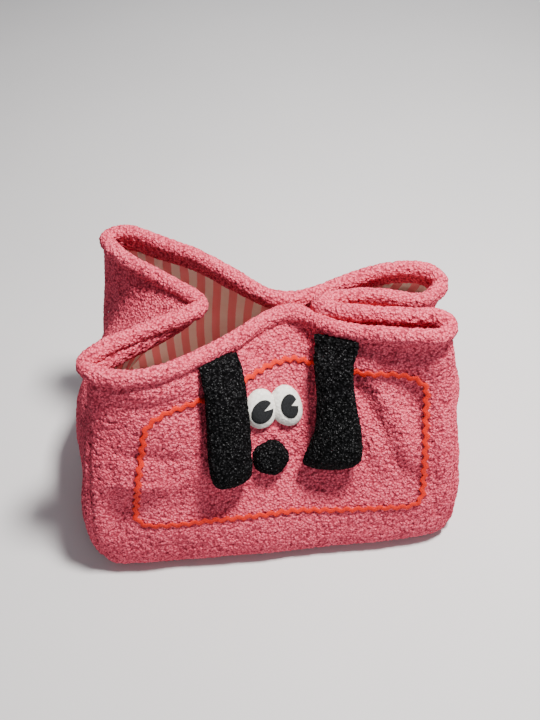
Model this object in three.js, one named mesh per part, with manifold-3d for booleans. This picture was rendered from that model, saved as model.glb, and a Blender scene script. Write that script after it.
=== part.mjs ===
// Plush storage tote: a soft box bag of curly sherpa with folded side gussets, a striped
// cotton lining and a stuffed dog face. Its mouth is pinched shut by a hidden magnetic snap.
//
// Frame: X is the width, -Y is the face side, +Z is up, and the origin is the middle of the
// underside. The wall is one closed surface: u runs round the bag, from the front-left corner
// over the front (0 to 1), the right gusset (1 to 2), the back (2 to 3) and the left gusset
// (3 to 4), and v runs from the floor (0) to the rim (1). Every sewn layer is a slab of it.

import * as THREE from 'three';
import Module from 'manifold-3d';
import { mergeVertices } from 'three/addons/utils/BufferGeometryUtils.js';

// ---- Driving dimensions, in millimetres ----
const bagWidth = 432;
const bagDepth = 316;
const rimHeight = 275;
const sherpaThickness = 3;
const foamThickness = 3.3;
const liningThickness = 1.1;
const layerGap = 0.4;
const seamGap = 0.6;
const floorGap = 0.4;
const rollRadius = 8.3;
const rollSides = 10;
const rollGap = 1.5;
const rollSeamGap = 4.4;
const rollClearance = 1.9;
const foldClearance = 9.4;
const facingThickness = 2.4;
const facingHeight = 15;
const basePanelThickness = 3;
const baseBoardThickness = 2.5;
const cornerSquareness = 18;
const frontBulge = 5;
const frontSkew = 0.025;
const footTuck = 5;
const footHeight = 0.08;
const wallBillow = 8;

const trimPitch = 12.8;
const trimWave = 2.6;
const trimWidth = 5;
const trimGap = 2.3;
const trimThickness = 1.4;
const coverThickness = 2;
const stuffingGap = 0.6;
const faceGap = 1.7;
const eyeHalfWidth = 18.5;
const eyeHalfHeight = 23;
const eyeSpacing = 35;
const eyeTilt = 7;
const eyeThickness = 13;
const pupilThickness = 1.2;
const pupilGap = 0.5;
const pupilHalfWidth = 11.5;
const pupilHalfHeight = 13.5;
const noseRadius = 20.5;
const noseThickness = 19;
const snapRadius = 6;
const snapThickness = 3.6;
const snapGap = 0.6;
const earRollGap = 7;
const earWallGap = 4;

// ---- Rim outline, as shares of the half width, the half depth and the rim height ----
const rimShares = [
  // front roll, from the left corner over the pinched middle to the right corner
  [-0.86, -0.515, 0.99], [-0.78, -0.615, 0.98], [-0.65, -0.64, 0.97], [-0.53, -0.61, 0.96],
  [-0.41, -0.53, 0.945], [-0.29, -0.42, 0.93], [-0.16, -0.29, 0.91], [-0.04, -0.145, 0.90],
  [0.075, -0.045, 0.90], [0.175, -0.02, 0.90], [0.27, -0.09, 0.905], [0.37, -0.235, 0.925],
  [0.49, -0.34, 0.945], [0.615, -0.41, 0.965], [0.74, -0.465, 0.975], [0.88, -0.505, 0.985],
  // right gusset, folded in to its crease and back
  [0.938, -0.415, 0.99], [0.875, -0.32, 0.985], [0.765, -0.29, 0.98], [0.64, -0.25, 0.975],
  [0.51, -0.19, 0.965], [0.40, -0.115, 0.945], [0.335, -0.025, 0.93], [0.39, 0.05, 0.925],
  [0.53, 0.075, 0.92], [0.67, 0.045, 0.92], [0.805, -0.005, 0.915], [0.90, 0.0, 0.915],
  // back roll, from the right corner to the left one
  [0.985, 0.125, 0.92], [0.95, 0.25, 0.925], [0.845, 0.31, 0.927], [0.70, 0.31, 0.925],
  [0.55, 0.27, 0.916], [0.40, 0.20, 0.91], [0.28, 0.135, 0.905], [0.175, 0.11, 0.905],
  [0.065, 0.15, 0.912], [-0.05, 0.265, 0.93], [-0.28, 0.50, 0.975], [-0.495, 0.66, 1.0],
  [-0.70, 0.80, 1.018],
  // left gusset, folded in to its crease and back
  [-0.81, 0.755, 1.02], [-0.785, 0.63, 1.018], [-0.70, 0.50, 1.007], [-0.59, 0.38, 0.995],
  [-0.49, 0.285, 0.98], [-0.39, 0.185, 0.967], [-0.295, 0.045, 0.956], [-0.37, -0.075, 0.963],
  [-0.48, -0.145, 0.97], [-0.575, -0.22, 0.978], [-0.665, -0.29, 0.985], [-0.78, -0.39, 0.99],
];
const cornerIndex = { front: [0, 16], right: [16, 28], back: [28, 41], left: [41, 53] };
const sideNames = ['front', 'right', 'back', 'left'];
const baseAngles = { front: 225, right: 315, back: 45, left: 135 };
const rightCreaseIndex = 22;
const leftCreaseIndex = 47;

// How far each upright line has moved from the base outline towards the rim outline at a
// quarter, a half and three quarters of its height. Each side has a line at both ends and
// one in its middle.
const lean = {
  frontLeft: [0.02, 0.28, 0.72],
  frontMiddle: [0.06, 0.36, 0.68],
  frontRight: [0.03, 0.42, 0.93],
  rightMiddle: [-0.10, -0.08, 0.40],
  backRight: [0.08, 0.34, 0.70],
  backMiddle: [0.06, 0.34, 0.68],
  backLeft: [0.10, 0.45, 0.78],
  leftMiddle: [-0.09, -0.07, 0.34],
};
const sideLean = {
  front: [lean.frontLeft, lean.frontMiddle, lean.frontRight],
  right: [lean.frontRight, lean.rightMiddle, lean.backRight],
  back: [lean.backRight, lean.backMiddle, lean.backLeft],
  left: [lean.backLeft, lean.leftMiddle, lean.frontLeft],
};

// ---- The wall surface ----

// Points spaced along a path, and the distance to each of them.
function measuredPath(points) {
  const lengths = [0];
  for (let i = 1; i < points.length; i += 1) {
    lengths.push(lengths[i - 1] + points[i].distanceTo(points[i - 1]));
  }
  return { points, lengths, total: lengths[lengths.length - 1] };
}

// The point at a share of a measured path's length.
function pointAlong(path, share) {
  const distance = share * path.total;
  let i = 1;
  while (i < path.lengths.length - 1 && path.lengths[i] < distance) {
    i += 1;
  }
  const step = path.lengths[i] - path.lengths[i - 1];
  const part = (distance - path.lengths[i - 1]) / step;
  return path.points[i - 1].clone().lerp(path.points[i], part);
}

// Moves the outline's points apart, a little at a time, until the roll that runs through
// them clears itself, both side by side and round each fold.
function spreadForRoll(points) {
  for (let pass = 0; pass < 80; pass += 1) {
    for (let i = 0; i < points.length; i += 1) {
      for (let j = i + 2; j < points.length; j += 1) {
        const steps = Math.min(j - i, points.length - j + i);
        if (steps !== 3) {
          const least = 2 * rollRadius + (steps === 2 ? foldClearance : rollClearance);
          const between = points[j].clone().sub(points[i]);
          const missing = least - between.length();
          if (missing > 0) {
            between.setLength(Math.min(missing, 1) / 2);
            points[i].sub(between);
            points[j].add(between);
          }
        }
      }
    }
  }
  return points;
}

const rimCurve = new THREE.CatmullRomCurve3(
  spreadForRoll(rimShares.map(([x, y, z]) => new THREE.Vector3(x * bagWidth / 2, y * bagDepth / 2, z * rimHeight))),
  true, 'catmullrom', 0.5);

// The rim line of one side, from one corner to the next.
function rimPath(side) {
  const [first, last] = cornerIndex[side];
  const steps = (last - first) * 12;
  const points = [];
  for (let i = 0; i <= steps; i += 1) {
    const index = first + (last - first) * i / steps;
    points.push(rimCurve.getPoint(index / rimShares.length));
  }
  return measuredPath(points);
}

// The base line of one side: a quarter of a squared-off ellipse, bulged on the face side.
function basePath(side) {
  const points = [];
  for (let i = 0; i <= 96; i += 1) {
    const angle = THREE.MathUtils.degToRad(baseAngles[side] + 90 * i / 96);
    const power = 2 / cornerSquareness;
    const across = Math.sign(Math.cos(angle)) * Math.abs(Math.cos(angle)) ** power;
    const along = Math.sign(Math.sin(angle)) * Math.abs(Math.sin(angle)) ** power;
    let y = along * bagDepth / 2;
    if (y < 0) {
      y = (y - frontBulge * (1 - across * across)) * (1 - frontSkew * across);
    }
    points.push(new THREE.Vector3(across * bagWidth / 2, y, 0));
  }
  return measuredPath(points);
}

const rimPaths = {};
const basePaths = {};
for (const side of sideNames) {
  rimPaths[side] = rimPath(side);
  basePaths[side] = basePath(side);
}

function catmull(a, b, c, d, t) {
  const square = (2 * a - 5 * b + 4 * c - d) * t * t;
  const cube = (3 * b - a - 3 * c + d) * t * t * t;
  return 0.5 * (2 * b + (c - a) * t + square + cube);
}

// The lean of the wall at a share s along a side and a share v of its height.
function leanAt(side, s, v) {
  const half = Math.min(Math.floor(2 * s), 1);
  const part = 2 * s - half;
  const blend = part * part * (3 - 2 * part);
  const values = [0, 0, 0].map((_, i) => {
    return sideLean[side][half][i] * (1 - blend) + sideLean[side][half + 1][i] * blend;
  });
  const rows = [-values[0], 0, ...values, 1, 2 - values[2]];
  const row = Math.min(Math.floor(4 * v), 3);
  return catmull(rows[row], rows[row + 1], rows[row + 2], rows[row + 3], 4 * v - row);
}

// A point of the wall's middle surface.
function wallMiddle(u, v) {
  const turn = ((u % 4) + 4) % 4;
  const side = sideNames[Math.floor(turn)];
  const s = turn - Math.floor(turn);
  const base = pointAlong(basePaths[side], s);
  const rim = pointAlong(rimPaths[side], s);
  const share = leanAt(side, s, v);
  const flat = cornerSquareness - 1;
  const outward = new THREE.Vector2(
    Math.sign(base.x) * Math.abs(2 * base.x / bagWidth) ** flat / bagWidth,
    Math.sign(base.y) * Math.abs(2 * base.y / bagDepth) ** flat / bagDepth).normalize();
  const tuck = footTuck * Math.max(1 - v / footHeight, 0) ** 2;
  const shift = wallBillow * Math.sin(Math.PI * v) - tuck;
  return new THREE.Vector3(
    base.x + (rim.x - base.x) * share + outward.x * shift,
    base.y + (rim.y - base.y) * share + outward.y * shift,
    floorGap + (rim.z - floorGap) * v);
}

// A point of the wall with its directions: across (along u), up (along v) and out.
function wallFrame(u, v) {
  const step = 0.004;
  const across = wallMiddle(u + step, v).sub(wallMiddle(u - step, v));
  const up = wallMiddle(u, Math.min(v + step, 1)).sub(wallMiddle(u, Math.max(v - step, 0)));
  const out = across.clone().cross(up).normalize();
  return { point: wallMiddle(u, v), across: across.normalize(), up: up.normalize(), out };
}

// A point at a height over the wall's middle surface, outwards when positive.
function overWall(u, v, height) {
  const frame = wallFrame(u, v);
  return frame.point.addScaledVector(frame.out, height);
}

// ---- Closed bodies from rings and grids ----

// Six times the volume inside a set of faces: negative when they point inwards.
function signedVolume(points, faces) {
  let sum = 0;
  for (let i = 0; i < faces.length; i += 3) {
    const [a, b, c] = [points[faces[i]], points[faces[i + 1]], points[faces[i + 2]]];
    sum += a.dot(b.clone().cross(c));
  }
  return sum;
}

function meshFrom(name, points, faces, material) {
  if (signedVolume(points, faces) < 0) {
    faces.reverse();
  }
  const geometry = new THREE.BufferGeometry();
  geometry.setAttribute('position', new THREE.Float32BufferAttribute(points.flatMap((p) => p.toArray()), 3));
  geometry.setIndex(faces);
  geometry.computeVertexNormals();
  const mesh = new THREE.Mesh(geometry, material.clone());
  mesh.name = name;
  return mesh;
}

// A body skinned over rings with the same number of points. The ends close on one point
// each, unless the rings run round and the last one meets the first.
function skinned(name, rings, runsRound, material) {
  const count = rings[0].length;
  const points = rings.flat();
  const faces = [];
  const last = runsRound ? rings.length : rings.length - 1;
  for (let r = 0; r < last; r += 1) {
    const next = (r + 1) % rings.length;
    for (let i = 0; i < count; i += 1) {
      const j = (i + 1) % count;
      faces.push(r * count + i, r * count + j, next * count + j);
      faces.push(r * count + i, next * count + j, next * count + i);
    }
  }
  if (!runsRound) {
    for (const [ring, flip] of [[0, true], [rings.length - 1, false]]) {
      const centre = rings[ring].reduce((sum, p) => sum.add(p), new THREE.Vector3()).divideScalar(count);
      points.push(centre);
      for (let i = 0; i < count; i += 1) {
        const j = (i + 1) % count;
        const pair = flip ? [ring * count + j, ring * count + i] : [ring * count + i, ring * count + j];
        faces.push(pair[0], pair[1], points.length - 1);
      }
    }
  }
  return meshFrom(name, points, faces, material);
}

// A slab of the wall between two heights over its middle surface. Its first and last
// lines step back from the seam that they share with the next panel, so both panels end
// on parallel faces. Its outer and inner face have the same facets, and nothing of it is
// lower than the floor gap.
function wallSlab(name, uLines, vLines, outer, inner, material) {
  const points = [];
  for (const height of [outer, inner]) {
    uLines.forEach((u, line) => {
      for (const v of vLines) {
        const frame = wallFrame(u, v(u));
        const stepBack = seamStep(line, uLines.length, seamGap);
        const point = frame.point.addScaledVector(frame.out, height).addScaledVector(frame.across, stepBack);
        point.z = Math.max(point.z, floorGap);
        points.push(point);
      }
    });
  }
  const rows = vLines.length;
  const behind = uLines.length * rows;
  const faces = [];
  const quad = (a, b, c, d) => faces.push(a, b, c, a, c, d);
  for (let line = 0; line < uLines.length - 1; line += 1) {
    for (let row = 0; row < rows - 1; row += 1) {
      const corner = line * rows + row;
      quad(corner, corner + rows, corner + rows + 1, corner + 1);
      faces.push(behind + corner, behind + corner + rows + 1, behind + corner + rows);
      faces.push(behind + corner, behind + corner + 1, behind + corner + rows + 1);
    }
    const foot = line * rows;
    const top = foot + rows - 1;
    quad(foot + rows, foot, behind + foot, behind + foot + rows);
    quad(top, top + rows, behind + top + rows, behind + top);
  }
  for (let row = 0; row < rows - 1; row += 1) {
    const end = (uLines.length - 1) * rows + row;
    quad(row, row + 1, behind + row + 1, behind + row);
    quad(end + 1, end, behind + end, behind + end + 1);
  }
  return meshFrom(name, points, faces, material);
}

// How far a line steps back from a seam: half the gap on the first and last line.
function seamStep(line, count, gap) {
  if (line === 0) {
    return gap / 2;
  }
  return line === count - 1 ? -gap / 2 : 0;
}

// A round tube on the rim, along the same lines.
function rimTube(name, uLines, material) {
  const rings = uLines.map((u, line) => {
    const frame = wallFrame(u, 1);
    const stepBack = seamStep(line, uLines.length, rollSeamGap);
    const centre = frame.point.clone().addScaledVector(frame.across, stepBack);
    const out = frame.across.clone().cross(new THREE.Vector3(0, 0, 1)).normalize();
    const up = out.clone().cross(frame.across).normalize();
    return ellipse(rollRadius, rollRadius, rollSides).map(([x, y]) => {
      return centre.clone().addScaledVector(out, x).addScaledVector(up, y);
    });
  });
  return skinned(name, rings, false, material);
}

// Points round an ellipse.
function ellipse(halfWidth, halfHeight, count) {
  const points = [];
  for (let i = 0; i < count; i += 1) {
    const angle = 2 * Math.PI * i / count;
    points.push([halfWidth * Math.cos(angle), halfHeight * Math.sin(angle)]);
  }
  return points;
}

// Shares of a length, closer together near both ends.
function easedShares(count) {
  const shares = [];
  for (let i = 0; i <= count; i += 1) {
    const t = i / count;
    shares.push(0.5 * t + 0.25 * (1 - Math.cos(Math.PI * t)));
  }
  return shares;
}

// ---- Materials ----
const sherpaPink = new THREE.MeshStandardMaterial({ color: 0xd4717f, roughness: 0.95, metalness: 0 });
const curlyBlack = new THREE.MeshStandardMaterial({ color: 0x1a1b1d, roughness: 0.9, metalness: 0 });
const foamWhite = new THREE.MeshStandardMaterial({ color: 0xe9e6df, roughness: 0.9, metalness: 0 });
const stripedCotton = new THREE.MeshStandardMaterial({ color: 0xdc8f92, roughness: 0.85, metalness: 0 });
const trimOrange = new THREE.MeshStandardMaterial({ color: 0xf0431a, roughness: 0.7, metalness: 0 });
const feltWhite = new THREE.MeshStandardMaterial({ color: 0xeeece4, roughness: 0.9, metalness: 0 });
const feltCharcoal = new THREE.MeshStandardMaterial({ color: 0x2c2e31, roughness: 0.9, metalness: 0 });
const boardGrey = new THREE.MeshStandardMaterial({ color: 0xb9b4a8, roughness: 0.8, metalness: 0 });
const snapNickel = new THREE.MeshStandardMaterial({ color: 0xc9cbcf, roughness: 0.3, metalness: 1 });

// ---- Layers of the wall, measured from its middle surface ----
const wallThickness = sherpaThickness + foamThickness + liningThickness + 2 * layerGap;
const wallOuter = wallThickness / 2;
const foamOuter = wallOuter - sherpaThickness - layerGap;
const liningOuter = foamOuter - foamThickness - layerGap;
const wallInner = -wallThickness / 2;
const facingInner = liningOuter - facingThickness;

// Heights as shares: the wall stops under the roll, and the facing hangs down inside it.
function wallHeight(u) {
  return wallMiddle(u, 1).z - floorGap;
}
const wallTop = (u) => 1 - (rollRadius + rollGap) / wallHeight(u);
const facingFoot = (u) => wallTop(u) - facingHeight / wallHeight(u);
const liningTop = (u) => facingFoot(u) - seamGap / wallHeight(u);
const wallRows = [0, 0.035, 0.085, 0.2, 0.33, 0.46, 0.58, 0.69, 0.77, 0.84].map((v) => () => v);

// Share along a gusset where its crease is, from the rim's lengths on both sides of it.
function creaseShare(side, creaseIndex) {
  const [first, last] = cornerIndex[side];
  const before = Math.round((creaseIndex - first) / (last - first) * (rimPaths[side].points.length - 1));
  return rimPaths[side].lengths[before] / rimPaths[side].total;
}
const rightCrease = 1 + creaseShare('right', rightCreaseIndex);
const leftCrease = 3 + creaseShare('left', leftCreaseIndex);

// Each sewn panel: its name, where it starts and ends round the bag, and its fineness.
const panels = [
  { name: 'front', start: 0, end: 1, lines: 18, rollLines: 40 },
  { name: 'right_gusset_front', start: 1, end: rightCrease, lines: 6, rollLines: 16 },
  { name: 'right_gusset_back', start: rightCrease, end: 2, lines: 8, rollLines: 16 },
  { name: 'back', start: 2, end: 3, lines: 14, rollLines: 34 },
  { name: 'left_gusset_back', start: 3, end: leftCrease, lines: 6, rollLines: 16 },
  { name: 'left_gusset_front', start: leftCrease, end: 4, lines: 6, rollLines: 16 },
];

const tote = new THREE.Group();

for (const { name, start, end, lines, rollLines } of panels) {
  const spread = (count) => easedShares(count).map((share) => start + (end - start) * share);
  const wallLines = spread(lines);
  const liningRows = [...wallRows, liningTop];
  const facingRows = [facingFoot, wallTop];
  const rows = [...liningRows, ...facingRows];
  tote.add(wallSlab(`sherpa_${name}`, wallLines, rows, wallOuter, wallOuter - sherpaThickness, sherpaPink));
  tote.add(wallSlab(`foam_${name}`, wallLines, rows, foamOuter, foamOuter - foamThickness, foamWhite));
  tote.add(wallSlab(`lining_${name}`, wallLines, liningRows, liningOuter, wallInner, stripedCotton));
  tote.add(wallSlab(`facing_${name}`, wallLines, facingRows, liningOuter, facingInner, sherpaPink));
  tote.add(rimTube(`rim_roll_${name}`, spread(rollLines), sherpaPink));
}

// ---- The base, inside the foot of the walls ----
const baseOutline = [];
for (let i = 0; i < 64; i += 1) {
  const point = overWall(i / 16, 0, wallInner - seamGap);
  baseOutline.push(new THREE.Vector2(point.x, point.y));
}
const baseLayers = [
  ['sherpa_base', 0, basePanelThickness, sherpaPink],
  ['base_board', basePanelThickness + layerGap, baseBoardThickness, boardGrey],
  ['lining_base', basePanelThickness + baseBoardThickness + 2 * layerGap, liningThickness, stripedCotton],
];
for (const [name, height, thickness, material] of baseLayers) {
  const geometry = new THREE.ExtrudeGeometry(new THREE.Shape(baseOutline), { depth: thickness, bevelEnabled: false });
  const layer = new THREE.Mesh(geometry, material.clone());
  layer.name = name;
  layer.position.z = height;
  tote.add(layer);
}

// ---- Wavy trim: a rounded rectangle on the front, sewn over the sherpa ----
const trimOutline = new THREE.Shape();
trimOutline.moveTo(0.115, 0.35);
trimOutline.lineTo(0.145, 0.75);
trimOutline.quadraticCurveTo(0.15, 0.82, 0.22, 0.835);
trimOutline.lineTo(0.50, 0.85);
trimOutline.lineTo(0.86, 0.825);
trimOutline.quadraticCurveTo(0.935, 0.81, 0.932, 0.74);
trimOutline.lineTo(0.918, 0.33);
trimOutline.quadraticCurveTo(0.917, 0.28, 0.87, 0.275);
trimOutline.lineTo(0.55, 0.30);
trimOutline.lineTo(0.17, 0.305);
trimOutline.quadraticCurveTo(0.118, 0.31, 0.115, 0.35);
const trimPlaces = trimOutline.getSpacedPoints(4000);
const trimPath = measuredPath(trimPlaces.map((place) => wallMiddle(place.x, place.y)));
const trimHalfWaves = 2 * Math.round(trimPath.total / trimPitch);

// The place on the front, in shares, at a distance along the trim.
function trimPlaceAt(distance) {
  return trimPlaces[trimPath.lengths.findIndex((length) => length >= distance)];
}

const trimRings = [];
for (let i = 0; i < trimHalfWaves; i += 1) {
  const step = trimPath.total / trimHalfWaves;
  const place = trimPlaceAt(i * step);
  const ahead = trimPlaceAt((i + 0.5) * step);
  const frame = wallFrame(place.x, place.y);
  const along = wallMiddle(ahead.x, ahead.y).sub(frame.point).normalize();
  const sideways = along.clone().cross(frame.out).normalize();
  const wave = (i % 2 === 0 ? trimWave : -trimWave);
  const low = wallOuter + trimGap;
  trimRings.push([[-1, low], [1, low], [1, low + trimThickness], [-1, low + trimThickness]].map(([edge, height]) => {
    const middle = frame.point.clone().addScaledVector(sideways, wave + edge * trimWidth / 2);
    return middle.addScaledVector(frame.out, height);
  }));
}
tote.add(skinned('wavy_trim', trimRings, true, trimOrange));

// ---- Face pads: mounds over the front, drawn on it in millimetres from a centre ----
const surfaceLength = {
  across: rimPaths.front.total,
  up: rimHeight * 1.12,
};

function overFront(centre, x, y, height) {
  return overWall(centre[0] + x / surfaceLength.across, centre[1] + y / surfaceLength.up, height);
}

// Closed mound between two height functions of the distance from its middle (0 to 1).
function mound(name, centre, outline, ringShares, lowHeight, highHeight, material) {
  const ringAt = (share, height) => outline.map(([x, y]) => {
    return overFront(centre, x * share, y * share, height(share, x * share, y * share));
  });
  const rings = [];
  for (const share of ringShares) {
    rings.push(ringAt(share, lowHeight));
  }
  for (const share of ringShares.slice().reverse()) {
    rings.push(ringAt(share, highHeight));
  }
  return skinned(name, rings, false, material);
}

const faceLow = wallOuter + faceGap;
const domeShares = [0.15, 0.42, 0.66, 0.83, 0.94, 1];
const stuffShares = domeShares.slice(0, 4);
const dome = (thickness) => (share) => faceLow + thickness * (0.12 + 0.88 * Math.sqrt(1 - share ** 2.6));
const cupped = (thickness, wall) => (share) => {
  return share > 0.93 ? faceLow : faceLow + (thickness - wall) * Math.sqrt(1 - (share / 0.95) ** 2.6);
};
const flatLow = () => faceLow;

// The whites of both eyes are one cover: two ovals that run together in the middle.
const eyeCentre = [0.508, 0.701];
const eyeMiddles = [[-eyeSpacing / 2, eyeTilt / 2], [eyeSpacing / 2, -eyeTilt / 2]];
const eyeNames = ['left', 'right'];

function eyeReach(angle, halfWidth, halfHeight) {
  let reach = 0;
  for (const [cx, cy] of eyeMiddles) {
    const dx = Math.cos(angle) / halfWidth;
    const dy = Math.sin(angle) / halfHeight;
    const ox = cx / halfWidth;
    const oy = cy / halfHeight;
    const a = dx * dx + dy * dy;
    const b = -(dx * ox + dy * oy);
    const c = ox * ox + oy * oy - 1;
    const inside = b * b - a * c;
    if (inside >= 0) {
      reach = Math.max(reach, (-b + Math.sqrt(inside)) / a);
    }
  }
  return reach;
}

function eyeOutline(shrink, count) {
  const points = [];
  for (let i = 0; i < count; i += 1) {
    const angle = 2 * Math.PI * (i + 0.5) / count;
    const reach = eyeReach(angle, eyeHalfWidth - shrink, eyeHalfHeight - shrink);
    points.push([reach * Math.cos(angle), reach * Math.sin(angle)]);
  }
  return points;
}

const eyeCups = cupped(eyeThickness, coverThickness);
tote.add(mound('eye_cover', eyeCentre, eyeOutline(0, 32), domeShares, eyeCups, dome(eyeThickness), feltWhite));
const eyeStuffing = (share) => Math.max(eyeCups(share) - stuffingGap, faceLow + 0.2);
tote.add(mound('eye_stuffing', eyeCentre, eyeOutline(0, 32), stuffShares, flatLow, eyeStuffing, foamWhite));

// Each pupil is a felt oval with a wedge cut out of it, glued to the domed white.
const pupilOutline = [];
for (let i = 0; i <= 20; i += 1) {
  const angle = THREE.MathUtils.degToRad(36 + (350 - 36) * i / 20);
  pupilOutline.push([pupilHalfWidth * Math.cos(angle), pupilHalfHeight * Math.sin(angle)]);
}
pupilOutline.push([1, 0.3]);
const pupilPlaces = [[-eyeSpacing / 2 + 0.5, eyeTilt / 2 - 1.5], [eyeSpacing / 2 + 3.5, -eyeTilt / 2 - 0.5]];

// How high the white's dome is at a place on it.
function whiteHeight(x, y) {
  const reach = eyeReach(Math.atan2(y, x), eyeHalfWidth, eyeHalfHeight);
  return dome(eyeThickness)(Math.min(Math.hypot(x, y) / reach, 1));
}

eyeNames.forEach((name, i) => {
  const [cx, cy] = pupilPlaces[i];
  const star = -3;
  const outline = pupilOutline.map(([x, y]) => [x - star, y]);
  const centre = [
    eyeCentre[0] + (cx + star) / surfaceLength.across,
    eyeCentre[1] + cy / surfaceLength.up,
  ];
  const top = (x, y) => whiteHeight(x + cx + star, y + cy);
  const low = (_, x, y) => top(x, y) + pupilGap;
  const high = (_, x, y) => top(x, y) + pupilGap + pupilThickness;
  tote.add(mound(`${name}_pupil`, centre, outline, [0.15, 0.4, 0.7, 1], low, high, feltCharcoal));
});

// The nose is a stuffed oval, a little wider at its top.
const noseCentre = [0.493, 0.526];
const noseOutline = ellipse(noseRadius, noseRadius, 24).map(([x, y]) => [x * (1 + 0.004 * y), y]);
const noseCup = cupped(noseThickness, coverThickness);
tote.add(mound('nose_cover', noseCentre, noseOutline, domeShares, noseCup, dome(noseThickness), curlyBlack));
const noseStuffing = (share) => Math.max(noseCup(share) - stuffingGap, faceLow + 0.2);
tote.add(mound('nose_stuffing', noseCentre, noseOutline, stuffShares, flatLow, noseStuffing, foamWhite));

// ---- Ears: stuffed flat tubes that hang from the seam under the front roll ----
// Each station: share of the way down, sideways shift, half width and half thickness.
const ears = {
  left: {
    top: [0.338, 0.345],
    foot: [0.356, 0.455],
    stations: [
      [0, 0, 21, 3], [0.07, 0, 21.5, 6.5], [0.22, 0, 21.5, 10.5], [0.4, 0, 22, 12.5], [0.58, 0.5, 23, 13.5],
      [0.75, 1, 24.5, 14], [0.87, 1, 24, 13.5], [0.94, 1, 20, 11], [0.98, 1, 13.5, 7.5], [1, 1, 6, 3.5],
    ],
  },
  right: {
    top: [0.715, 0.705],
    foot: [0.684, 0.46],
    stations: [
      [0, 0, 27, 3], [0.08, 0, 25.5, 6.5], [0.22, 0.5, 22.5, 10], [0.38, 2, 20.5, 12], [0.54, 3, 22.5, 13.5],
      [0.7, 1.5, 27.5, 14], [0.84, -2, 32, 14], [0.93, -4, 28.5, 11.5], [0.98, -5, 20, 7.5], [1, -5, 10, 3.5],
    ],
  },
};

function earRing(ear, station, shrink) {
  const [down, shift, halfWidth, halfThickness] = station;
  const u = ear.top[0] + (ear.foot[0] - ear.top[0]) * down;
  const high = wallTop(u) - earRollGap / wallHeight(u);
  const v = high + (ear.foot[1] - high) * down;
  const frame = wallFrame(u, v);
  const centre = frame.point.clone();
  centre.addScaledVector(frame.across, shift);
  centre.addScaledVector(frame.out, wallOuter + earWallGap + halfThickness);
  return ellipse(halfWidth - shrink, Math.max(halfThickness - shrink, 0.6), 14).map(([x, y]) => {
    return centre.clone().addScaledVector(frame.across, x).addScaledVector(frame.out, y);
  });
}

for (const [name, ear] of Object.entries(ears)) {
  const outerRings = ear.stations.map((station) => earRing(ear, station, 0));
  const innerStations = ear.stations.slice(0, -2);
  const innerRings = innerStations.map((station) => earRing(ear, station, coverThickness));
  const cover = [...outerRings.slice().reverse(), ...innerRings];
  tote.add(skinned(`${name}_ear_cover`, cover, false, curlyBlack));
  const stuffing = ear.stations.slice(1, -3).map((station) => earRing(ear, station, coverThickness + stuffingGap));
  tote.add(skinned(`${name}_ear_stuffing`, stuffing, false, foamWhite));
}

// ---- Magnetic snap: a magnet and a plate let into the rolls where the mouth is pinched ----

// The shares round the bag where the front roll and the back roll come closest.
function closestRolls() {
  let best = { distance: Infinity };
  for (let i = 0; i <= 60; i += 1) {
    for (let j = 0; j <= 60; j += 1) {
      const frontShare = 0.5 + 0.15 * i / 60;
      const backShare = 2.3 + 0.2 * j / 60;
      const distance = wallMiddle(frontShare, 1).distanceTo(wallMiddle(backShare, 1));
      if (distance < best.distance) {
        best = { distance, frontShare, backShare };
      }
    }
  }
  return best;
}

const wasm = await Module();
wasm.setup();

function solidFrom(mesh) {
  mesh.updateMatrixWorld(true);
  const geometry = mesh.geometry.clone().applyMatrix4(mesh.matrixWorld);
  for (const attribute of ['normal', 'uv']) {
    geometry.deleteAttribute(attribute);
  }
  const merged = mergeVertices(geometry, 1e-4);
  return new wasm.Manifold(new wasm.Mesh({
    numProp: 3,
    vertProperties: new Float32Array(merged.attributes.position.array),
    triVerts: new Uint32Array(merged.index.array),
  }));
}

// Cuts one mesh by another and gives the first its new geometry.
function carve(mesh, cutter) {
  const result = solidFrom(mesh).subtract(solidFrom(cutter)).getMesh();
  const geometry = new THREE.BufferGeometry();
  geometry.setAttribute('position', new THREE.BufferAttribute(new Float32Array(result.vertProperties), 3));
  geometry.setIndex(new THREE.BufferAttribute(new Uint32Array(result.triVerts), 1));
  geometry.computeVertexNormals();
  mesh.geometry = geometry;
}

const pinch = closestRolls();
const pinchFront = wallMiddle(pinch.frontShare, 1);
const pinchBack = wallMiddle(pinch.backShare, 1);
const pinchMiddle = pinchFront.clone().lerp(pinchBack, 0.5);
const snapHalves = [
  ['snap_magnet', 'rim_roll_front', pinchFront],
  ['snap_plate', 'rim_roll_back', pinchBack],
];
for (const [name, rollName, rollCentre] of snapHalves) {
  const axis = rollCentre.clone().sub(pinchMiddle).normalize();
  const turn = new THREE.Quaternion().setFromUnitVectors(new THREE.Vector3(0, 1, 0), axis);
  const disc = new THREE.Mesh(new THREE.CylinderGeometry(snapRadius, snapRadius, snapThickness, 20), snapNickel);
  disc.quaternion.copy(turn);
  disc.position.copy(pinchMiddle).addScaledVector(axis, snapGap / 2 + snapThickness / 2);
  disc.name = name;
  tote.add(disc);
  const pocketRadius = snapRadius + layerGap;
  const pocket = new THREE.Mesh(new THREE.CylinderGeometry(pocketRadius, pocketRadius, 2 * snapThickness, 20));
  pocket.quaternion.copy(turn);
  pocket.position.copy(pinchMiddle).addScaledVector(axis, snapGap / 2 + layerGap);
  carve(tote.getObjectByName(rollName), pocket);
}

export default tote;
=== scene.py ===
# %% [markdown]
# # A plush storage tote, dressed in Blender
# The frame is a imported model of the tote: every sewn panel, roll and pad as a plain solid, on
# the body that carries it. This file gives those solids their curly pile, stripes and felt.
# It loads the frame first.

# %% Load the frame
import math

import bpy
import numpy as np
from mathutils import Matrix, Vector


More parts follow.
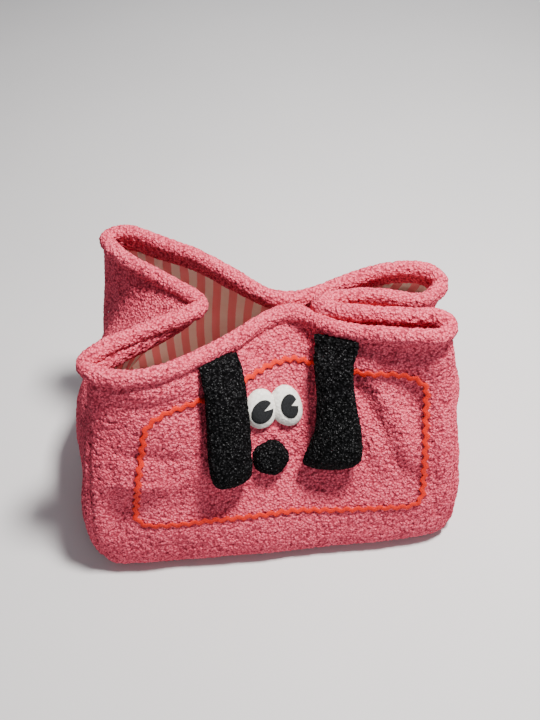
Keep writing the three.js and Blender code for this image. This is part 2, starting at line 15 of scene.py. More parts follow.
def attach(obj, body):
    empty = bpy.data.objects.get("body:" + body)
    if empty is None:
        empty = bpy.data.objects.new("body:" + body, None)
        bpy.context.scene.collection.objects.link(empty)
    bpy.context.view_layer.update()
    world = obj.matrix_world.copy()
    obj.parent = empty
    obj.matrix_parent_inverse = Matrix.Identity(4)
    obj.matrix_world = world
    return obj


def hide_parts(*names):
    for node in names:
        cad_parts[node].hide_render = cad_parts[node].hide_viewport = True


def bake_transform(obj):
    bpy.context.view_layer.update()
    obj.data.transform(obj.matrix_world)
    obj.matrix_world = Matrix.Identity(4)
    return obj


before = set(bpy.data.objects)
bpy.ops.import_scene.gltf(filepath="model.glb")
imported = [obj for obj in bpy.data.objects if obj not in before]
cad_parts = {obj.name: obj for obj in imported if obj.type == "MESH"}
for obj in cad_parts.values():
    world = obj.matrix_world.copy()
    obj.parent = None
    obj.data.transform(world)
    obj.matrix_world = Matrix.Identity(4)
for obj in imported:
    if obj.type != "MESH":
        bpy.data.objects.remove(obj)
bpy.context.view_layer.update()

# %% [markdown]
# ## The camera
# It stands about a metre away, well above the bag, and looks down at its face side with a
# slight lean of the head. A lens of 40 mm on a 36 mm sensor gives a natural perspective.

# %% Camera
def set_camera(place, pitch, yaw, roll, lens):
    """Angles in degrees: down, to the right, and the lean of the head."""
    pitch, yaw, roll = (math.radians(x) for x in (pitch, yaw, roll))
    level = math.cos(pitch)
    ahead = Vector((math.sin(yaw) * level, math.cos(yaw) * level, -math.sin(pitch)))
    right = Vector((math.cos(yaw), -math.sin(yaw), 0))
    above = right.cross(ahead)
    turned = math.cos(roll) * right + math.sin(roll) * above
    upright = -math.sin(roll) * right + math.cos(roll) * above
    data = bpy.data.cameras.new("main_camera")
    data.lens = lens
    data.sensor_width = 36
    camera = bpy.data.objects.new("main_camera", data)
    camera.matrix_world = Matrix((turned, upright, -ahead)).transposed().to_4x4()
    camera.location = place
    bpy.context.scene.collection.objects.link(camera)
    bpy.context.scene.camera = camera
    return camera


camera = set_camera((0.0077, -0.6595, 0.8836), 47.296, 0.163, -4.307, 40.03)
print("camera at", [round(x, 3) for x in camera.location])

# %% [markdown]
# ## Floor and light
# A pale floor and a pale sky keep the attention on the cloth. One small, strong lamp high on
# the right draws the shadows of the ears and the rolls, and two weak, wide ones, from the
# front and from behind, open them again.

# %% Shader helpers
class Wire:
    """A value on its way between two shader nodes. Arithmetic on it adds Math nodes."""

    def __init__(self, tree, socket):
        self.tree, self.socket = tree, socket

    def math(self, operation, other=None):
        return node(self.tree, "ShaderNodeMath", [self, other], operation=operation)

    def __add__(self, other):
        return self.math("ADD", other)

    def __sub__(self, other):
        return self.math("SUBTRACT", other)

    def __mul__(self, other):
        return self.math("MULTIPLY", other)

    def __radd__(self, other):
        return self.math("ADD", other)

    def __rsub__(self, other):
        return self.math("MULTIPLY", -1.0).math("ADD", other)

    def __rmul__(self, other):
        return self.math("MULTIPLY", other)

    def clamp(self):
        return self.math("MAXIMUM", 0.0).math("MINIMUM", 1.0)


def node(tree, kind, inputs, output=0, **settings):
    """Makes one node, sets or links its inputs by place or by name, and returns one output."""
    made = tree.nodes.new(kind)
    for key, value in settings.items():
        setattr(made, key, value)
    pairs = inputs.items() if isinstance(inputs, dict) else enumerate(inputs)
    for key, value in pairs:
        if isinstance(value, Wire):
            tree.links.new(value.socket, made.inputs[key])
        elif value is not None:
            made.inputs[key].default_value = value
    return Wire(tree, made.outputs[output])


def blend_colours(tree, share, first, second):
    """A colour between two colours, by a share from 0 to 1."""
    return node(tree, "ShaderNodeMix", {0: share, 6: first, 7: second}, output=2, data_type="RGBA")


def new_finish(name, **constants):
    """A material whose shader constants are set straight on its sockets."""
    material = bpy.data.materials.new(name)
    material.use_nodes = True
    shader = material.node_tree.nodes["Principled BSDF"]
    for key, value in constants.items():
        shader.inputs[key.replace("_", " ")].default_value = value
    return material, material.node_tree, shader


def plug(tree, shader, **wires):
    """Links wires to the shader's inputs."""
    for key, wire in wires.items():
        tree.links.new(wire.socket, shader.inputs[key.replace("_", " ")])


print("shader helpers ready")

# %% Floor and lamps
def put_floor():
    bpy.ops.object.select_all(action="DESELECT")
    bpy.ops.mesh.primitive_plane_add(size=12)
    floor = bpy.context.object
    floor.name = "studio_floor"
    material, tree, shader = new_finish("pale_floor", Roughness=0.75)
    place = node(tree, "ShaderNodeTexCoord", [], output=3)
    grain = node(tree, "ShaderNodeTexNoise", {"Vector": place, "Scale": 3.0, "Detail": 4.0})
    colour = blend_colours(tree, grain, (0.60, 0.59, 0.60, 1), (0.66, 0.65, 0.66, 1))
    plug(tree, shader, Base_Color=colour)
    floor.data.materials.append(material)


def put_lamp(name, place, aim, width, watts, colour):
    light = bpy.data.lights.new(name, "AREA")
    light.size = width
    light.energy = watts
    light.color = colour
    lamp = bpy.data.objects.new(name, light)
    lamp.location = place
    lamp.rotation_euler = (Vector(aim) - Vector(place)).to_track_quat("-Z", "Y").to_euler()
    bpy.context.scene.collection.objects.link(lamp)


put_floor()
put_lamp("softbox_right", (0.50, -0.06, 1.6), (0, 0, 0.12), 0.26, 70, (1.0, 0.97, 0.93))
put_lamp("fill_front", (0.9, -1.5, 0.5), (0, 0, 0.1), 1.0, 6, (0.98, 0.98, 1.0))
put_lamp("fill_back", (0.2, 1.5, 1.1), (0, 0, 0.1), 1.2, 7, (0.97, 0.98, 1.0))
sky = bpy.data.worlds.new("pale_sky")
sky.use_nodes = True
sky.node_tree.nodes["Background"].inputs[0].default_value = (0.93, 0.95, 1.0, 1)
sky.node_tree.nodes["Background"].inputs[1].default_value = 0.24
bpy.context.scene.world = sky
print("floor, three lamps and sky ready")

# %% [markdown]
# ## The wall of the bag as one surface
# The cloth pieces are cut and hung on the same surface as the frame's solids. Its outline is
# a squared-off oval on the floor and a folded, pinched line at the rim. A share u runs round
# the bag: 0 to 1 over the front, 1 to 2 over the right gusset, 2 to 3 over the back and 3 to
# 4 over the left gusset. A share v runs from the floor (0) to the rim (1). Lengths here are
# in millimetres, as a pattern cutter would give them.

# %% Sizes of the bag
bag_width, bag_depth, rim_height = 432, 316, 275
floor_gap = 0.4
corner_squareness = 18
front_bulge, front_skew = 5, 0.025
foot_tuck, foot_height, wall_billow = 5, 0.08, 8
roll_radius = 8.3
# How far the layers of the wall lie outside its middle surface.
wall_outer, foam_inner, lining_inner = 4.1, -2.6, -4.1

# The rim line as shares of the half width, the half depth and the rim height.
rim_shares = [
    (-0.86, -0.515, 0.99), (-0.78, -0.615, 0.98), (-0.65, -0.64, 0.97), (-0.53, -0.61, 0.96),
    (-0.41, -0.53, 0.945), (-0.29, -0.42, 0.93), (-0.16, -0.29, 0.91), (-0.04, -0.145, 0.90),
    (0.075, -0.045, 0.90), (0.175, -0.02, 0.90), (0.27, -0.09, 0.905), (0.37, -0.235, 0.925),
    (0.49, -0.34, 0.945), (0.615, -0.41, 0.965), (0.74, -0.465, 0.975), (0.88, -0.505, 0.985),
    (0.938, -0.415, 0.99), (0.875, -0.32, 0.985), (0.765, -0.29, 0.98), (0.64, -0.25, 0.975),
    (0.51, -0.19, 0.965), (0.40, -0.115, 0.945), (0.335, -0.025, 0.93), (0.39, 0.05, 0.925),
    (0.53, 0.075, 0.92), (0.67, 0.045, 0.92), (0.805, -0.005, 0.915), (0.90, 0.0, 0.915),
    (0.985, 0.125, 0.92), (0.95, 0.25, 0.925), (0.845, 0.31, 0.927), (0.70, 0.31, 0.925),
    (0.55, 0.27, 0.916), (0.40, 0.20, 0.91), (0.28, 0.135, 0.905), (0.175, 0.11, 0.905),
    (0.065, 0.15, 0.912), (-0.05, 0.265, 0.93), (-0.28, 0.50, 0.975), (-0.495, 0.66, 1.0),
    (-0.70, 0.80, 1.018), (-0.81, 0.755, 1.02), (-0.785, 0.63, 1.018), (-0.70, 0.50, 1.007),
    (-0.59, 0.38, 0.995), (-0.49, 0.285, 0.98), (-0.39, 0.185, 0.967), (-0.295, 0.045, 0.956),
    (-0.37, -0.075, 0.963), (-0.48, -0.145, 0.97), (-0.575, -0.22, 0.978), (-0.665, -0.29, 0.985),
    (-0.78, -0.39, 0.99),
]
corner_index = [0, 16, 28, 41, 53]
base_angles = [225, 315, 45, 135]
# How far each upright line has moved from base to rim at a quarter, a half and three
# quarters of its height, at both ends and in the middle of each side.
side_lean = [
    [(0.02, 0.28, 0.72), (0.06, 0.36, 0.68), (0.03, 0.42, 0.93)],
    [(0.03, 0.42, 0.93), (-0.10, -0.08, 0.40), (0.08, 0.34, 0.70)],
    [(0.08, 0.34, 0.70), (0.06, 0.34, 0.68), (0.10, 0.45, 0.78)],
    [(0.10, 0.45, 0.78), (-0.09, -0.07, 0.34), (0.02, 0.28, 0.72)],
]
print("rim line has", len(rim_shares), "points")

# %% Lines of the rim and of the base
rim_points = np.array(rim_shares) * (bag_width / 2, bag_depth / 2, rim_height)


def catmull(a, b, c, d, t):
    """A smooth step from b to c, with a before them and d after them."""
    square = (2 * a - 5 * b + 4 * c - d) * t * t
    cube = (3 * b - a - 3 * c + d) * t * t * t
    return 0.5 * (2 * b + (c - a) * t + square + cube)


def measured(points):
    """A line with the distance along it to each of its points."""
    steps = np.linalg.norm(np.diff(points, axis=0), axis=1)
    return np.concatenate([[0], np.cumsum(steps)]), points


def rim_line(side):
    count = len(rim_points)
    rows = []
    for index in range(corner_index[side], corner_index[side + 1]):
        a, b, c, d = (rim_points[(index + k) % count] for k in (-1, 0, 1, 2))
        t = np.linspace(0, 1, 12, endpoint=False)[:, None]
        rows.append(catmull(a, b, c, d, t))
    rows.append(rim_points[corner_index[side + 1] % count][None])
    return measured(np.concatenate(rows))


def base_line(side):
    angle = np.radians(base_angles[side] + np.linspace(0, 90, 97))
    power = 2 / corner_squareness
    across = np.sign(np.cos(angle)) * np.abs(np.cos(angle)) ** power
    along = np.sign(np.sin(angle)) * np.abs(np.sin(angle)) ** power * bag_depth / 2
    bulged = (along - front_bulge * (1 - across**2)) * (1 - front_skew * across)
    y = np.where(along < 0, bulged, along)
    return measured(np.stack([across * bag_width / 2, y, 0 * y], 1))


rims = [rim_line(side) for side in range(4)]
bases = [base_line(side) for side in range(4)]


def crease_share(side, index):
    """Share along a gusset where its fold is."""
    lengths, _ = rims[side]
    first, last = corner_index[side], corner_index[side + 1]
    return lengths[round((index - first) / (last - first) * (len(lengths) - 1))] / lengths[-1]


right_crease = 1 + crease_share(1, 22)
left_crease = 3 + crease_share(3, 47)
print("folds at", round(right_crease, 3), "and", round(left_crease, 3))

# %% [markdown]
# Cloth is never a perfect sheet, so the surface gets relief: a soft slanting fold beside the
# right ear, shallow dents on the left, and slow swells all over. Every layer and every pad
# uses the same relief, so nothing sinks or floats.

# %% Relief and noise
def ease(t):
    """Turns a straight climb from 0 to 1 into one that starts and ends gently."""
    return t * t * (3 - 2 * t)


def scatter(cell, salt):
    """Three numbers from 0 to 1 for each whole-numbered cell, always the same ones."""
    x, y, z = (cell[:, k].astype(np.int64) for k in range(3))
    mixed = (x * 73856093) ^ (y * 19349663) ^ (z * 83492791) ^ (salt * 2654435761)
    out = []
    for k in range(3):
        mixed = (mixed * 1103515245 + 12345 + k * 7919) & 0x7FFFFFFF
        out.append(((mixed >> 9) & 0xFFFF) / 65535)
    return np.stack(out, 1)


def swell(points, size, salt=1):
    """Smooth noise from -1 to 1 with lumps of about the given size."""
    place = points / size
    cell = np.floor(place)
    part = place - cell
    part = ease(part)
    total = np.zeros(len(points))
    for step in np.ndindex(2, 2, 2):
        weight = np.prod(np.where(np.array(step) == 1, part, 1 - part), axis=1)
        total += weight * scatter(cell + np.array(step), salt)[:, 0]
    return 2 * total - 1


def curls(points, size, salt=2):
    """How high the curls of the pile stand, 0 to 1: each is a round bump of that size."""
    place = points / size
    cell = np.floor(place)
    nearest = np.full(len(points), 9.0)
    for step in np.ndindex(3, 3, 3):
        corner = cell + np.array(step) - 1
        gap = corner + scatter(corner, salt) - place
        nearest = np.minimum(nearest, (gap * gap).sum(1))
    return np.clip(1 - nearest, 0, 1)


def ridge(u, v, start, end, width, height):
    """A rounded ridge (or a valley, when height is below 0) between two places on the wall."""
    scale = np.array([430.0, 300.0])
    a, b = np.array(start) * scale, np.array(end) * scale
    p = np.stack([u, v], -1) * scale
    along = np.clip(((p - a) @ (b - a)) / ((b - a) @ (b - a)), 0, 1)
    away = np.linalg.norm(p - a - along[..., None] * (b - a), axis=-1)
    swollen = 0.35 + 0.65 * np.sin(np.pi * (0.15 + 0.8 * along))
    return height * np.exp(-((away / width) ** 2)) * swollen


def bump_between(v, low, high):
    return np.sin(np.pi * np.clip((v - low) / (high - low), 0, 1)) ** 2


# The ridges and valleys of the front: the two ends of each, its half width and its height.
front_folds = [
    ((0.755, 0.80), (0.865, 0.40), 11, -5.0), ((0.80, 0.80), (0.905, 0.46), 14, 4.0),
    ((0.18, 0.64), (0.25, 0.50), 24, -5.0), ((0.02, 0.38), (0.36, 0.37), 34, -8.0),
    ((0.36, 0.37), (0.80, 0.36), 34, -3.0), ((0.84, 0.38), (0.99, 0.36), 30, -3.0),
    ((0.60, 0.925), (0.98, 0.925), 12, -5.0), ((0.895, 0.76), (0.925, 0.47), 9, -3.0),
    ((0.715, 0.66), (0.80, 0.38), 10, -3.0), ((0.08, 0.67), (0.25, 0.61), 8, -3.0),
    ((0.06, 0.54), (0.24, 0.49), 9, 2.5), ((0.06, 0.75), (0.07, 0.25), 7, -2.2),
    ((0.30, 0.80), (0.05, 0.90), 15, -3.0), ((0.45, 0.93), (0.50, 0.86), 10, -2.5),
    ((0.03, 0.93), (0.27, 0.91), 11, 3.0),
]
print("folds of the front:", len(front_folds))

# %% Relief
def relief(u, v):
    """How far the cloth stands out from the even wall, in millimetres."""
    turn = np.mod(u, 4)
    flat = np.stack([turn * 300, v * 270, 0 * v], -1).reshape(-1, 3)
    slow = 2.0 * swell(flat, 75.0, 5).reshape(u.shape) + 0.8 * swell(flat, 34.0, 6).reshape(u.shape)
    ends = np.abs(turn - np.round(turn))
    inside = np.clip(ends / 0.06, 0, 1) * np.clip(v / 0.15, 0, 1) * np.clip((1 - v) / 0.12, 0, 1)
    out = slow * inside
    # The front: its folds, a swelling foot and a hollow above it.
    front = (turn < 1) * np.clip(turn / 0.05, 0, 1) * np.clip((1 - turn) / 0.05, 0, 1)
    for fold in front_folds:
        out += front * ridge(turn, v, *fold)
    foot_swell, hollow = np.exp(-(((v - 0.09) / 0.07) ** 2)), np.exp(-(((v - 0.38) / 0.16) ** 2))
    out += front * 5.0 * (foot_swell - hollow)
    # The left corner and the left fold are drawn in. The right corner is drawn in low down
    # and pushed out above.
    rise = np.clip((v - 0.2) / 0.35, 0, 1) * np.clip((0.995 - v) / 0.08, 0, 1)
    left_away, right_away = np.minimum(turn, 4 - turn) * 430, np.abs(turn - 1) * 430
    out -= 5.0 * rise * np.exp(-((left_away / 70) ** 2))
    out -= 6.0 * bump_between(v, 0.2, 0.72) * np.exp(-(((turn - left_crease) / 0.16) ** 2))
    out -= 4.5 * bump_between(v, 0.0, 0.5) * np.exp(-((right_away / 45) ** 2))
    out += 6.0 * bump_between(v, 0.5, 1.0) * np.exp(-((right_away / 40) ** 2))
    return out


print("relief at the fold", round(float(relief(np.array([0.81]), np.array([0.6]))[0]), 2), "mm")

# %% The wall and its directions
def on_line(line, share):
    """Points at a share of the length of a measured line."""
    lengths, points = line
    return np.stack([np.interp(share * lengths[-1], lengths, points[:, k]) for k in range(3)], -1)


def wall_middle(u, v):
    """Points of the even middle surface of the wall."""
    u, v = np.broadcast_arrays(np.mod(np.asarray(u, float), 4), np.asarray(v, float))
    out = np.zeros(u.shape + (3,))
    for side in range(4):
        here = np.floor(u) == side
        s, height = u[here] - side, v[here]
        top, foot = on_line(rims[side], s), on_line(bases[side], s)
        half = np.minimum(np.floor(2 * s), 1).astype(int)
        part = 2 * s - half
        part = ease(part)[:, None]
        lean = np.array(side_lean[side])
        values = lean[half] * (1 - part) + lean[half + 1] * part
        ends = (-values[:, :1], 0 * part, values, 0 * part + 1, 2 - values[:, 2:])
        rows = np.concatenate(ends, 1)
        row = np.minimum(np.floor(4 * height), 3).astype(int)
        a, b, c, d = (np.take_along_axis(rows, row[:, None] + k, 1)[:, 0] for k in range(4))
        share = catmull(a, b, c, d, 4 * height - row)
        flat = corner_squareness - 1
        out_x = np.sign(foot[:, 0]) * np.abs(2 * foot[:, 0] / bag_width) ** flat / bag_width
        out_y = np.sign(foot[:, 1]) * np.abs(2 * foot[:, 1] / bag_depth) ** flat / bag_depth
        length = np.hypot(out_x, out_y) + 1e-12
        tuck = foot_tuck * np.maximum(1 - height / foot_height, 0) ** 2
        shift = wall_billow * np.sin(np.pi * height) - tuck
        x = foot[:, 0] + (top[:, 0] - foot[:, 0]) * share + out_x / length * shift
        y = foot[:, 1] + (top[:, 1] - foot[:, 1]) * share + out_y / length * shift
        out[here] = np.stack([x, y, floor_gap + (top[:, 2] - floor_gap) * height], -1)
    return out


def wall_frame(u, v):
    """Points of the wall with the directions across it, up it and out of it."""
    step = 0.004
    u, v = np.broadcast_arrays(np.asarray(u, float), np.asarray(v, float))
    across = wall_middle(u + step, v) - wall_middle(u - step, v)
    up = wall_middle(u, np.minimum(v + step, 1)) - wall_middle(u, np.maximum(v - step, 0))
    out = np.cross(across, up)
    unit = lambda a: a / np.linalg.norm(a, axis=-1, keepdims=True)
    return wall_middle(u, v), unit(across), unit(up), unit(out)


def over_wall(u, v, height):
    """Points that lie a height outside the middle surface, with the relief added."""
    point, _, _, out = wall_frame(u, v)
    place = point + out * (np.asarray(height) + relief(*np.broadcast_arrays(u, v)))[..., None]
    place[..., 2] = np.maximum(place[..., 2], 0.3)
    return place


def wall_top(u, under):
    """The share of the height that lies a distance under the rim line."""
    return 1 - under / (wall_middle(u, np.ones_like(u))[..., 2] - floor_gap)


print("middle of the front rim", wall_middle(np.array([0.5]), np.array([1.0])).round(1))

# %% [markdown]
# ## Cutting and dressing a piece
# A panel starts as a plain grid. Its vertices are then laid on the wall, it is given its
# thickness with Solidify, and last its outer side is roughed up into curly pile. A bent
# tube or a pad starts as a round primitive and is laid in the same way.

# %% Laying helpers
def start(name, add, **sizes):
    """Adds a primitive alone and gives it a name."""
    bpy.ops.object.select_all(action="DESELECT")
    add(**sizes)
    piece = bpy.context.object
    piece.name = name
    return piece


def start_grid(name, wide, high):
    add = bpy.ops.mesh.primitive_grid_add
    return start(name, add, x_subdivisions=wide, y_subdivisions=high, size=1)


def start_ball(name, segments, rings):
    add = bpy.ops.mesh.primitive_uv_sphere_add
    return start(name, add, segments=segments, ring_count=rings, radius=1)


def places(piece):
    co = np.zeros(len(piece.data.vertices) * 3)
    piece.data.vertices.foreach_get("co", co)
    return co.reshape(-1, 3)


def lay(piece, points):
    """Moves the vertices to points given in millimetres."""
    piece.data.vertices.foreach_set("co", (points / 1000).ravel())
    piece.data.update()


def outward(piece):
    out = np.zeros(len(piece.data.vertices) * 3)
    piece.data.vertex_normals.foreach_get("vector", out)
    return out.reshape(-1, 3)


def thicken(piece, thickness):
    """Gives a sheet its thickness, inwards from the side it was laid on."""
    modifier = piece.modifiers.new("thickness", "SOLIDIFY")
    modifier.thickness = thickness / 1000
    modifier.offset = -1
    bpy.context.view_layer.objects.active = piece
    bpy.ops.object.modifier_apply(modifier=modifier.name)


def rough_up(piece, count, height, size, salt):
    """Raises the first count vertices into curls, and stores how high each one stands."""
    co = places(piece) * 1000
    warp = np.stack([swell(co, size * 2.2, salt + k) for k in (11, 12, 13)], 1) * size * 0.35
    stand = 0.62 * curls(co + warp, size, salt) + 0.38 * curls(co - warp, size * 0.62, salt + 3)
    lump = swell(co, size * 4.5, salt + 7)
    out = outward(piece)
    raise_by = (stand - 0.55) * height + lump * height * 0.25
    raise_by[count:] = 0
    moved = co + out * raise_by[:, None]
    moved[:, 2] = np.where(co[:, 2] < 0.6, co[:, 2], np.maximum(moved[:, 2], 0.05))
    lay(piece, moved)
    pile = piece.data.attributes.new("pile", "FLOAT", "POINT")
    stand[count:] = 0.3
    pile.data.foreach_set("value", stand.astype(np.float32))


# Height, width and pattern number of the curls on each kind of piece.
curls_of = {
    "panel": (3.8, 4.3, 3), "roll": (3.4, 4.5, 3), "facing": (3.2, 4.5, 3), "base": (1.2, 5.2, 3),
    "ear": (3.0, 4.2, 9), "nose": (2.6, 4.0, 7), "eyes": (1.1, 4.2, 5),
}


def finish_piece(piece, material, nodes, body):
    """Gives the piece its finish, hides the solids that it stands for, and hangs it on its body
    when it is given one.
    """
    piece.data.materials.clear()
    piece.data.materials.append(material)
    piece.data.shade_smooth()
    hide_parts(*nodes)
    if body:
        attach(piece, body)
    print(piece.name, len(piece.data.polygons), "faces")
    return piece


def follow_fold(piece, share):
    """Bakes the piece's place into its mesh and works out, for each vertex, a weight that grows
    from the fold to the corner and stays low along the floor; nothing uses the weight."""
    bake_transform(piece)
    spots = np.empty(len(piece.data.vertices) * 3)
    piece.data.vertices.foreach_get("co", spots)
    free_height, floor_grip = 0.09, 11
    held = 1 - ease(np.clip(spots[2::3] / free_height, 0, 1))
    weight = ease(share) ** (1 + floor_grip * held)


print("helpers ready")

# %% [markdown]
# ## Finishes
# Sherpa is a knit with its loops cut and curled. Close up it is a crowd of small knots, and its
# colour holds painted light: a painted highlight on the tops of the curls and painted shade in
# the gaps between them, following how high each curl stands. A fine cell pattern adds the
# knots that are too small to model.

# %% Pink sherpa and black boucle
def noise(tree, place, scale, detail, **more):
    settings = {"Vector": place, "Scale": scale, "Detail": detail, **more}
    return node(tree, "ShaderNodeTexNoise", settings)


def curly(name, top, middle, painted_gap_shade, knot, painted_glint=None):
    """Curled pile with painted light in its colour: a painted highlight on the knot tops,
    painted shade in the gaps and, on black yarn, painted glints on a few loops.
    """
    material, tree, shader = new_finish(name, Roughness=0.95, Specular_IOR_Level=0.06)
    place = node(tree, "ShaderNodeTexCoord", [], output=3)
    pile = node(tree, "ShaderNodeAttribute", [], output=2, attribute_name="pile")
    bend_by = (0.0014, 0.0014, 0.0014)
    unruly = {"Vector": place, "Scale": 260.0, "Detail": 2.0}
    bend = node(tree, "ShaderNodeTexNoise", unruly, output=1)
    shifted = node(tree, "ShaderNodeVectorMath", [bend, bend_by, place], operation="MULTIPLY_ADD")
    cells = {"Vector": shifted, "Scale": 1 / knot, "Randomness": 1.0}
    knots = node(tree, "ShaderNodeTexVoronoi", cells)
    fine, broad = noise(tree, place, 900.0, 3.0), noise(tree, place, 14.0, 2.0)
    round_knot = (1 - knots * 1.15).clamp()
    height = round_knot * 0.76 + pile * 0.34 + fine * 0.34
    # Painted shade: the low parts of the pile, the gaps between the curls, take the dark shade
    # colour.
    lit = ((height - 0.30) * 1.9).clamp()
    # Painted highlight on the highest curl tops, in patches broken up by a broad random tone.
    painted_highlight_and_tone = ((height - 0.74) * 2.2 + (broad - 0.5) * 0.5).clamp()
    # top is the painted highlight colour, and middle the pile's own colour.
    colour = blend_colours(tree, painted_highlight_and_tone, blend_colours(tree, lit, painted_gap_shade, middle), top)
    if painted_glint:
        # Painted glints: small grey highlights painted on some knots of the black yarn, standing in
        # for light caught by its loops.
        painted_glint_mask = ((fine - 0.57) * 9.0).clamp() * ((round_knot - 0.35) * 3.0).clamp()
        colour = blend_colours(tree, painted_glint_mask * 0.75, colour, painted_glint)
    bump_size = {"Height": height, "Strength": 1.0, "Distance": 0.0026}
    plug(tree, shader, Base_Color=colour, Normal=node(tree, "ShaderNodeBump", bump_size))
    return material


# The colours are the painted highlight on the curl tops, the pile's own colour and the painted
# shade in its gaps; the black boucle also gets the colour of its painted glints.
pink_sherpa = curly(
    "pink_sherpa", (0.94, 0.185, 0.262, 1), (0.74, 0.088, 0.145, 1), (0.20, 0.014, 0.030, 1),
    knot=0.0028,
)
black_boucle = curly(
    "black_boucle", (0.015, 0.015, 0.016, 1), (0.0025, 0.0025, 0.003, 1), (0.0, 0.0, 0.0, 1),
    knot=0.0028, painted_glint=(0.17, 0.17, 0.175, 1),
)
print("curly finishes:", pink_sherpa.name, black_boucle.name)

# %% [markdown]
# The lining is a plain-woven striped cotton. Its stripes follow the cloth, so they read the
# UV map that each lining piece is laid with, in units of a metre of cloth.

# %% Striped cotton
def striped_finish():
    stripe_repeat, thread_repeat = 0.024, 0.0011
    cream, pink, shadow = (0.97, 0.94, 0.82, 1), (0.95, 0.34, 0.37, 1), (0.60, 0.30, 0.26, 1)
    material, tree, shader = new_finish("striped_cotton_weave", Roughness=0.88)
    cloth = node(tree, "ShaderNodeTexCoord", [], output=2)
    across = node(tree, "ShaderNodeSeparateXYZ", [cloth])
    down = node(tree, "ShaderNodeSeparateXYZ", [cloth], output=1)
    turn = (across + noise(tree, cloth, 120.0, 2.0) * 0.0010) * (2 * math.pi / stripe_repeat)
    band = (turn.math("SINE") * 7.0 + 0.5).clamp()
    weft = (down * (2 * math.pi / thread_repeat)).math("SINE")
    warp = (across * (2 * math.pi / thread_repeat)).math("SINE")
    weave = weft * warp
    # Painted shade: the cloth darkens towards the shadow colour in random patches and a little
    # along the threads.
    painted_shade_mottle = (weave * 0.06 + (noise(tree, cloth, 25.0, 4.0) - 0.5) * 0.35 + 0.06).clamp()
    colour = blend_colours(tree, painted_shade_mottle, blend_colours(tree, band, cream, pink), shadow)
    height = weave * 0.12 + noise(tree, cloth, 45.0, 3.0)
    bump = node(tree, "ShaderNodeBump", {"Height": height, "Strength": 0.5, "Distance": 0.0012})
    plug(tree, shader, Base_Color=colour, Normal=bump)
    return material


striped_cotton = striped_finish()
print("striped finish:", striped_cotton.name)

# %% Felt, braid, board and snap
def felt(name, light, shade, fuzz, rough=0.95):
    material, tree, shader = new_finish(name, Roughness=rough, Specular_IOR_Level=0.3)
    place = node(tree, "ShaderNodeTexCoord", [], output=3)
    fibres = noise(tree, place, fuzz, 5.0, Roughness=0.7)
    tufts = node(tree, "ShaderNodeTexVoronoi", {"Vector": place, "Scale": fuzz * 0.6})
    height = fibres - tufts * 0.5
    colour = blend_colours(tree, ((height - 0.05) * 1.8).clamp(), shade, light)
    bump = node(tree, "ShaderNodeBump", {"Height": height, "Strength": 0.7, "Distance": 0.0007})
    plug(tree, shader, Base_Color=colour, Normal=bump)
    return material


white_plush = felt("white_plush", (0.93, 0.92, 0.87, 1), (0.66, 0.64, 0.59, 1), 420.0)
charcoal_felt = felt("charcoal_felt", (0.016, 0.017, 0.020, 1), (0.006, 0.0065, 0.0075, 1), 900.0)
grey_board = felt("grey_board", (0.50, 0.47, 0.41, 1), (0.36, 0.33, 0.29, 1), 160.0, 0.8)


def braid_finish():
    material, tree, shader = new_finish("orange_braid", Roughness=0.7, Specular_IOR_Level=0.3)
    place = node(tree, "ShaderNodeTexCoord", [], output=3)
    threads = node(tree, "ShaderNodeTexVoronoi", {"Vector": place, "Scale": 1250.0})
    painted_shade_mottle = noise(tree, place, 160.0, 3.0)
    height = 1 - threads
    # Painted shade: the braid is darker between its threads, and patchy at random.
    shade = (height * 0.8 + (painted_shade_mottle - 0.5) * 0.8 - 0.1).clamp()
    colour = blend_colours(tree, shade, (0.50, 0.006, 0.0, 1), (0.90, 0.012, 0.0, 1))
    bump = node(tree, "ShaderNodeBump", {"Height": height, "Strength": 0.6, "Distance": 0.0006})
    plug(tree, shader, Base_Color=colour, Normal=bump)
    return material


def snap_finish():
    material, tree, shader = new_finish("brushed_snap", Metallic=1.0)
    place = node(tree, "ShaderNodeTexCoord", [], output=3)
    brushed = [place, (1.0, 14.0, 14.0)]
    stretched = node(tree, "ShaderNodeVectorMath", brushed, operation="MULTIPLY")
    lines = noise(tree, stretched, 300.0, 3.0)
    colour = blend_colours(tree, lines, (0.46, 0.47, 0.49, 1), (0.62, 0.63, 0.65, 1))
    plug(tree, shader, Base_Color=colour, Roughness=lines * 0.25 + 0.22)
    return material


orange_braid, nickel = braid_finish(), snap_finish()
for name, finish in (("base_board", grey_board), ("snap_magnet", nickel), ("snap_plate", nickel)):
    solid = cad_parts[name]
    solid.data.materials.clear()
    solid.data.materials.append(finish)
print("felt, braid, board and snap finishes ready")

# %% [markdown]
# ## The wall panels
# Each side of the tote is sherpa sewn to thin foam. The two are one padded panel here. A seam
# pulls the cloth in, so the panel is thinner along its edges. The gusset pieces have their
# places baked in and hang on no body, and the others ride on their own wall.

# %% Panels
parts = [
    ("front", 0.0, 1.0, "front_wall", None),
    ("right_gusset_front", 1.0, right_crease, "front_wall", (right_crease, 1.0)),
    ("right_gusset_back", right_crease, 2.0, "back_wall", (right_crease, 2.0)),
    ("back", 2.0, 3.0, "back_wall", None),
    ("left_gusset_back", 3.0, left_crease, "back_wall", (left_crease, 3.0)),
    ("left_gusset_front", left_crease, 4.0, "front_wall", (left_crease, 4.0)),
]
top_seam_depth = roll_radius + 1.5


def rim_span(start_u, end_u):
    """Length of a stretch of the rim line."""
    steps = wall_middle(np.linspace(start_u, end_u - 1e-6, 200), np.ones(200))
    return np.linalg.norm(np.diff(steps, axis=0), axis=1).sum()


